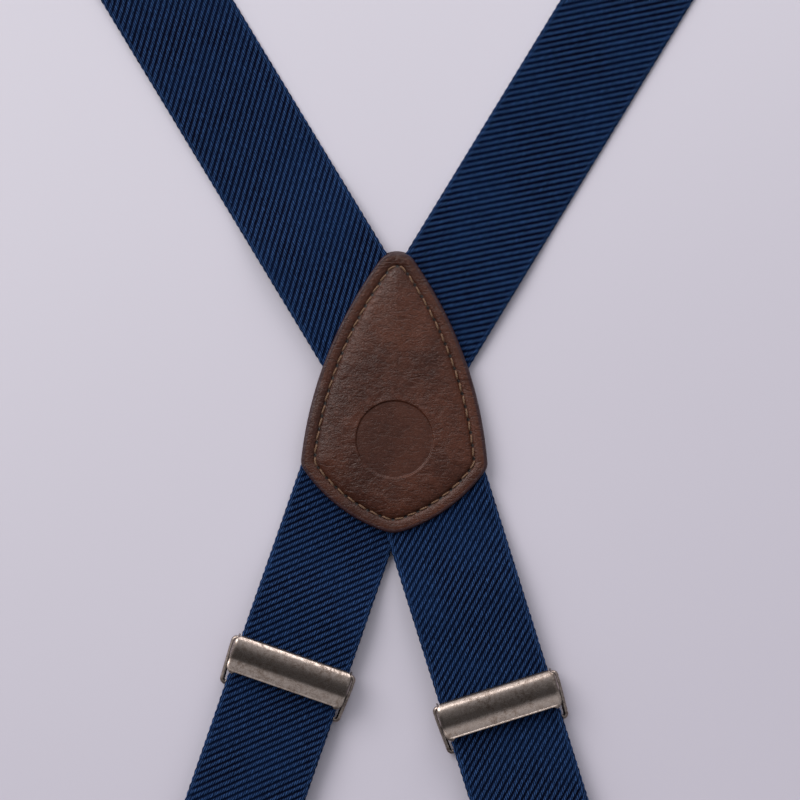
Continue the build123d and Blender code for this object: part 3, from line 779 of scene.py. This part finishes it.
def polar_patch(name, outline, rim_insets, inner_rings, between, top_of, under_of, material):
    """A closed leather sheet on rings round the disc: circles near it, the patch's outline at the rim."""
    ray = outline - DISC
    reach = np.linalg.norm(ray, axis=1, keepdims=True)
    ray = ray / reach
    reach = reach[:, 0]
    start = DISC_RADIUS * inner_rings[-1]
    rings = [DISC + ray * (DISC_RADIUS * r) for r in inner_rings]
    for step in range(1, between + 1):
        rings.append(DISC + ray * (start + (reach - rim_insets[-1] - start) * step / (between + 1))[:, None])
    for inset in rim_insets[::-1]:
        rings.append(DISC + ray * (reach - inset)[:, None])
    count = len(outline)
    flat = np.vstack(rings)
    rim = Line(outline, FINE)
    inset = rim.nearest(flat)[0]
    inset[-count:] = 0
    top = np.column_stack((flat, top_of(inset, flat)))
    under_rings = [DISC + ray * (reach - e)[:, None] for e in SKIRT_INSETS]
    under_rings += [DISC + ray * (start * r) for r in (1.0, 0.5)]
    under_flat = np.vstack(under_rings)
    under_inset = rim.nearest(under_flat)[0]
    under = np.column_stack((under_flat, under_of(under_inset, under_flat)))
    middle_top, middle_under = (
        np.array([[*DISC, height(np.array([FAR_INSET]), DISC[None, :])[0]]]) for height in (top_of, under_of)
    )
    verts = np.vstack((top, under, middle_top, middle_under))
    ring_count = len(rings) + len(under_rings)
    faces = []
    for ring in range(ring_count - 1):
        for j in range(count):
            k = (j + 1) % count
            a, b = ring * count, (ring + 1) * count
            faces.append((a + j, b + j, b + k, a + k))
    last = (ring_count - 1) * count
    for j in range(count):
        k = (j + 1) % count
        faces.append((len(verts) - 2, j, k))
        faces.append((last + k, last + j, len(verts) - 1))
    obj = make_object(name, verts, faces, material)
    insets = np.concatenate((inset, under_inset, [FAR_INSET, FAR_INSET])) / MM
    seam_gap, places = SEAM.nearest(verts[:, :2])
    index = corner_values(obj.data, "loops", "vertex_index")
    starts = corner_values(obj.data, "polygons", "loop_start")
    totals = corner_values(obj.data, "polygons", "loop_total")
    # A face that spans the seam line's start counts on past it, so that none runs backwards over the seam.
    place = places[index]
    place = place - np.round(place - np.repeat(place[starts], totals))
    set_corner_uv(obj, "seam", np.column_stack((place * STITCH_COUNT, seam_gap[index] / MM)))
    set_uv(obj, "rim", np.column_stack((insets, np.zeros(len(insets)))))
    face_outward(obj)
    return obj


def make_front_patch():
    front = polar_patch(
        "front_patch_leather", OUTLINE, RIM_INSETS, DISC_RINGS, BETWEEN,
        top_of=lambda inset, points: PATCH_UNDER - sag(points) + patch_relief(inset, points),
        under_of=lambda inset, points: PATCH_UNDER - sag(points) + np.where(
            inset < ROLL, ROLL * (1 - np.sqrt(np.clip(1 - (1 - inset / ROLL) ** 2, 0, 1))), 0),
        material=LEATHER,
    )
    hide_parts("front_patch")
    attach(front, "patch_and_straps")


def make_back_patch():
    """The back patch, a little wider than the front one at its tip."""
    crown = np.exp(-(((OUTLINE[:, 1] - CROWN_LEVEL) / CROWN_SPREAD) ** 2))[:, None]
    wider = OUTLINE - inward(OUTLINE) * (BACK_WIDER + BACK_CROWN * crown)
    half = BACK_TOP / 2

    def round_edge(inset):
        return np.sqrt(np.clip(1 - (1 - np.minimum(inset, half) / half) ** 2, 0, 1))

    def lift(points):
        return BACK_LIFT * smooth(beyond_straps(points) / SAG_REACH)

    back = polar_patch(
        "back_patch_leather", wider, RIM_INSETS[::3], DISC_RINGS[::4], 6,
        top_of=lambda inset, points: half + half * round_edge(inset) + lift(points),
        under_of=lambda inset, points: half - half * round_edge(inset),
        material=LEATHER,
    )
    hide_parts("back_patch")
    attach(back, "patch_and_straps")


def make_patch_stitches():
    """Twisted thread between needle holes all round the patch."""
    around, steps = THREAD_AROUND, THREAD_STEPS
    verts, faces = [], []
    count = SEAM.count
    for index in range(STITCH_COUNT):
        t = np.linspace(index + STITCH_END, index + 1 - STITCH_END, steps) / STITCH_COUNT * count
        low = np.floor(t).astype(int)
        share = (t - low)[:, None]
        line = SEAM.points[low % count] * (1 - share) + SEAM.points[(low + 1) % count] * share
        heading = np.gradient(line, axis=0)
        heading /= np.linalg.norm(heading, axis=1, keepdims=True)
        side = np.column_stack((-heading[:, 1], heading[:, 0]))
        line = line + side * np.linspace(STITCH_SLANT, -STITCH_SLANT, steps)[:, None]
        along = np.linspace(-1, 1, steps)
        leather = PATCH_UNDER - sag(line) + patch_relief(np.full(steps, STITCH_INSET), line)
        centre = leather + (THREAD_HEIGHT - THREAD_DIVE * along**4) * MM
        width = (THREAD_HALF - THREAD_TAPER * along**4) * MM
        base = len(verts)
        for i in range(steps):
            for k in range(around):
                a = 2 * math.pi * k / around
                radius = width[i] * (1 + THREAD_PLY * math.cos(2 * a - THREAD_TWIST * along[i]))
                flat = line[i] + side[i] * math.cos(a) * radius
                verts.append((*flat, centre[i] + math.sin(a) * radius * 0.85))
        for i in range(steps - 1):
            for k in range(around):
                m = (k + 1) % around
                faces.append((base + i * around + k, base + i * around + m,
                              base + (i + 1) * around + m, base + (i + 1) * around + k))
        faces.append(tuple(base + k for k in reversed(range(around))))
        faces.append(tuple(base + (steps - 1) * around + k for k in range(around)))
    obj = make_object("patch_thread", verts, faces, THREAD)
    face_outward(obj)
    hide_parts("patch_stitching")
    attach(obj, "patch_and_straps")


make_front_patch()
make_back_patch()
make_patch_stitches()


# ---------------------------------------------------------------- adjuster covers
# Along from the cover's edge, and height above the axle, of the cover's inner face, in millimetres.
COVER_PROFILE = (
    (0.0, 4.0), (0.3, 4.5), (0.9, 5.02), (1.8, 5.32), (2.9, 5.3), (4.2, 4.95), (5.6, 4.3), (6.5, 3.84),
    (7.2, 3.7), (8.0, 3.78), (9.4, 4.06), (10.9, 4.3),
)
# Along and height from the axle, in millimetres.
EAR_OUTLINE = (
    (-1.2, -0.9), (-1.5, 0.1), (-1.15, 1.4), (0.2, 3.6), (0.6, 4.3), (1.8, 4.9), (3.8, 4.5), (5.0, 3.7),
    (4.1, 2.2), (2.2, 0.2), (1.2, -0.9), (0.0, -1.5),
)
TOOTH_OUTLINE = ((-1.1, 4.8), (0, 2.5), (1.1, 4.8))      # across and height
TOOTH_PLACES = (0.9 * MM, 1.9 * MM)                      # a tooth's two faces, along from the axle
END_ROLL = 0.65 * MM             # radius at which the cover's ends turn down
FLAT_DROP = 0.2                  # share of that turn where there is no ear
EAR_ZONE, EAR_FADE = 4.6 * MM, 2.2 * MM          # along from the cover's edge: full turn, then less
HEEL_FLAT, HEEL_FADE = 0.6 * MM, 1.6 * MM        # no turn at the heel, which swings down as the cover opens


def slab(build, outer_points, inner_points):
    """A plate between two outlines with as many points."""
    outer = [build.verts.new(point) for point in outer_points]
    inner = [build.verts.new(point) for point in inner_points]
    build.faces.new(outer)
    build.faces.new(inner[::-1])
    for i in range(len(outer)):
        k = (i + 1) % len(outer)
        build.faces.new((outer[i], inner[i], inner[k], outer[k]))


def cover_shell():
    """The cover's sheet, from the axle: crest, crease, lip and rounded corners, with its ends turned down."""
    profile = np.array(COVER_PROFILE) * MM
    near_edges = [0.1 * MM, 0.25 * MM, 10.65 * MM, 10.8 * MM]
    stations = np.unique(np.concatenate((np.linspace(0, COVER_LENGTH, 40), near_edges)))
    heights = np.interp(stations, profile[:, 0], profile[:, 1])
    for _ in range(3):
        heights[1:-1] = (heights[:-2] + 2 * heights[1:-1] + heights[2:]) / 4
    spread = np.concatenate((np.linspace(0, 0.9, 22), [0.93, 0.955, 0.97, 0.98, 0.988, 0.994, 1.0]))
    spread = np.concatenate((-spread[:0:-1], spread))
    to_corner = np.clip(COVER_CORNER - np.minimum(stations, COVER_LENGTH - stations), 0, None)
    half_length = COVER_HALF - COVER_CORNER + np.sqrt(COVER_CORNER**2 - to_corner**2)
    turned_down = FLAT_DROP + (1 - FLAT_DROP) * (1 - smooth((stations - EAR_ZONE) / EAR_FADE))
    turned_down *= smooth((stations - HEEL_FLAT) / HEEL_FADE)
    build = bmesh.new()
    grid = []
    for station, height, half, share_down in zip(stations, heights, half_length, turned_down):
        to_end = np.clip(END_ROLL - half * (1 - np.abs(spread)), 0, None)
        drop = (END_ROLL - np.sqrt(END_ROLL**2 - to_end**2)) * share_down
        row = np.column_stack((np.full(len(spread), COVER_START + station), half * spread, height - drop))
        grid.append([build.verts.new(point) for point in row])
    for low, high in zip(grid, grid[1:]):
        for i in range(len(spread) - 1):
            build.faces.new((low[i], high[i], high[i + 1], low[i + 1]))
    return build


def ears_and_teeth():
    """The cover's two side walls, cut from sheet, and its row of teeth."""
    build = bmesh.new()
    for side in (1, -1):
        places = (side * COVER_HALF, side * (COVER_HALF - EAR_THICK))
        slab(build, *([(a * MM, place, h * MM) for a, h in EAR_OUTLINE] for place in places))
    for index in range(TOOTH_COUNT):
        across = (index - (TOOTH_COUNT - 1) / 2) * TOOTH_PITCH
        slab(build, *([(place, across + y * MM, h * MM) for y, h in TOOTH_OUTLINE] for place in TOOTH_PLACES))
    bmesh.ops.recalc_face_normals(build, faces=build.faces)
    return build


def make_cover(arm):
    """A pressed nickel cover: crest, crease and lip, ends turned down into ears, and teeth inside."""
    obj = object_from(cover_shell(), f"{arm.name}_cover")
    thick = obj.modifiers.new("sheet", "SOLIDIFY")
    thick.thickness = SHEET
    thick.offset = 1
    thick.use_even_offset = True
    add_bevel(obj, 0.16 * MM, 50)
    apply_modifiers(obj)
    extra = object_from(ears_and_teeth(), "ears")
    add_bevel(extra, 0.14 * MM, 40)
    apply_modifiers(extra)

    work = bmesh.new()
    work.from_mesh(obj.data)
    work.from_mesh(extra.data)
    bmesh.ops.recalc_face_normals(work, faces=work.faces)
    for vert in work.verts:
        along, across, height = vert.co
        vert.co = arm.point(arm.axle + along, across, arm.axle_height + height)
    work.to_mesh(obj.data)
    work.free()
    bpy.data.objects.remove(extra)
    shade_smooth(obj.data)
    obj.data.set_sharp_from_angle(angle=math.radians(55))
    obj.data.materials.append(NICKEL)
    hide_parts(f"{arm.name}_adjuster_cover")
    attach(obj, f"{arm.name}_adjuster_cover")


for arm in ARMS.values():
    make_cover(arm)


# ---------------------------------------------------------------- clip springs
SPRING_HALF = 4 * MM
SPRING_STRIP = 0.6 * MM
SPRING_RADIUS = 2.2 * MM         # of the bend round the pin, outside
SPRING_END = 9 * MM              # from the knuckle
SPRING_TOP = 10.4 * MM
SPRING_FOOT = 1.1 * MM
SPRING_CORNER = 0.12 * MM
SPRING_LEG_STEPS = 12
SPRING_BEND_STEPS = 24


def make_spring(arm):
    """A strip of spring steel bent round the pin, with its foot on the plate and its top up at the lever."""
    pin = arm.knuckle + PIN_ALONG
    middle_radius = SPRING_RADIUS - SPRING_STRIP / 2
    turn = np.linspace(-math.pi / 2, math.pi / 2, SPRING_BEND_STEPS)
    bend = np.array((pin, arm.pin_height)) + middle_radius * np.column_stack((np.cos(turn), np.sin(turn)))
    leg = np.linspace(0, 1, SPRING_LEG_STEPS, endpoint=False)[:, None]
    foot = np.array((arm.knuckle + SPRING_END, SPRING_FOOT + SPRING_STRIP / 2))
    tip = np.array((arm.knuckle + SPRING_END, SPRING_TOP - SPRING_STRIP / 2))
    line = np.vstack((foot + (bend[0] - foot) * leg, bend, tip + (bend[-1] - tip) * leg[::-1]))
    ahead = np.gradient(line, axis=0)
    ahead /= np.linalg.norm(ahead, axis=1)[:, None]
    normal = np.column_stack((-ahead[:, 1], ahead[:, 0]))
    half = SPRING_STRIP / 2
    quarter = [(SPRING_HALF - SPRING_CORNER, half), (SPRING_HALF, half - SPRING_CORNER)]
    side = [(across, -lift) for across, lift in quarter] + [(across, lift) for across, lift in quarter[::-1]]
    section = side + [(-across, -lift) for across, lift in side]
    verts = [
        arm.point(place[0] + up[0] * lift, across, place[1] + up[1] * lift)
        for place, up in zip(line, normal)
        for across, lift in section
    ]
    count = len(section)
    faces = [
        (r * count + i, r * count + (i + 1) % count, (r + 1) * count + (i + 1) % count, (r + 1) * count + i)
        for r in range(len(line) - 1)
        for i in range(count)
    ]
    faces.append(tuple(range(count)))
    faces.append(tuple(len(verts) - 1 - i for i in range(count)))
    obj = make_object(f"{arm.name}_spring", verts, faces, SPRING)
    face_outward(obj)
    obj.data.set_sharp_from_angle(angle=math.radians(35))
    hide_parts(f"{arm.name}_clip_spring")
    arm.point(pin, 0, arm.pin_height - middle_radius)
    arm.point(pin, 0, arm.pin_height + middle_radius)
    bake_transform(obj)


for arm in ARMS.values():
    make_spring(arm)


# ---------------------------------------------------------------- camera, floor and light
VIEW_SIZE = 244.5 * MM           # the width that the photograph shows
VIEW_DISTANCE = 1.15
VIEW_CENTRE = Vector((1.4 * MM, -7.0 * MM, 5 * MM))
SENSOR = 36
FLOOR_HALF = 4.0
FLOOR_LEVEL = -0.2 * MM
LIGHTS = (                       # name, the side that it shines from, spread in degrees, power, colour
    ("key", (-0.75, 0.75, 0.95), 40, 1.65, (1.0, 0.98, 0.95)),
    ("top", (0.45, 1.55, 0.62), 35, 0.9, (1.0, 0.98, 0.96)),
    ("fill", (0.9, -0.35, 1.1), 60, 0.25, (0.94, 0.96, 1.0)),
)
SKY_TOWARDS = (-0.42, 0.86, 0.10)
SKY_RAMP = ((0.34, (0.10, 0.10, 0.105, 1)), (0.9, (1.0, 1.0, 1.04, 1)))
SKY_STRENGTH = 0.9


def make_stage():
    camera = bpy.data.cameras.new("camera")
    camera.sensor_width = SENSOR
    camera.lens = SENSOR * VIEW_DISTANCE / VIEW_SIZE
    holder = link("camera", camera)
    holder.location = VIEW_CENTRE + Vector((0, 0, VIEW_DISTANCE))
    bpy.context.scene.camera = holder

    corners = ((-1, -1), (1, -1), (1, 1), (-1, 1))
    floor = make_object(
        "floor",
        [(x * FLOOR_HALF, y * FLOOR_HALF, FLOOR_LEVEL) for x, y in corners],
        [(0, 1, 2, 3)],
        floor_material(),
    )

    for name, place, spread, power, colour in LIGHTS:
        light = bpy.data.lights.new(name, "SUN")
        light.angle = math.radians(spread)
        light.energy = power
        light.color = colour
        lamp = link(name, light)
        lamp.location = place
        lamp.rotation_mode = "QUATERNION"
        lamp.rotation_quaternion = (-Vector(place)).to_track_quat("-Z", "Y")

    world = bpy.data.worlds.new("studio")
    world.use_nodes = True
    tree = world.node_tree
    where = tree.nodes.new("ShaderNodeTexCoord")
    facing = tree.nodes.new("ShaderNodeVectorMath")
    facing.operation = "DOT_PRODUCT"
    facing.inputs[1].default_value = SKY_TOWARDS
    tree.links.new(where.outputs["Generated"], facing.inputs[0])
    shade = tree.nodes.new("ShaderNodeValToRGB")
    for element, (position, colour) in zip(shade.color_ramp.elements, SKY_RAMP):
        element.position, element.color = position, colour
    lift = tree.nodes.new("ShaderNodeMapRange")
    lift.inputs[1].default_value = -1.0
    tree.links.new(facing.outputs["Value"], lift.inputs[0])
    tree.links.new(lift.outputs[0], shade.inputs[0])
    tree.links.new(shade.outputs[0], tree.nodes["Background"].inputs[0])
    tree.nodes["Background"].inputs[1].default_value = SKY_STRENGTH
    bpy.context.scene.world = world
    bpy.context.scene.view_settings.view_transform = "Standard"


make_stage()

# ---------------------------------------------------------------- CAD nodes that show
CAD_MATERIALS = {
    "_adjuster_bail": NICKEL,
    "_ring": NICKEL,
    "_clip_back_plate": NICKEL,
    "_clip_lever": NICKEL,
    "_clip_pin": NICKEL,
    "_clip_back_pad": PLASTIC,
    "_clip_front_pad": PLASTIC,
    "_end_stitching": NAVY_THREAD,
}
for node_name, node_object in frame["nodes"].items():
    for ending, material in CAD_MATERIALS.items():
        if node_name.endswith(ending):
            node_object.data.materials.clear()
            node_object.data.materials.append(material)
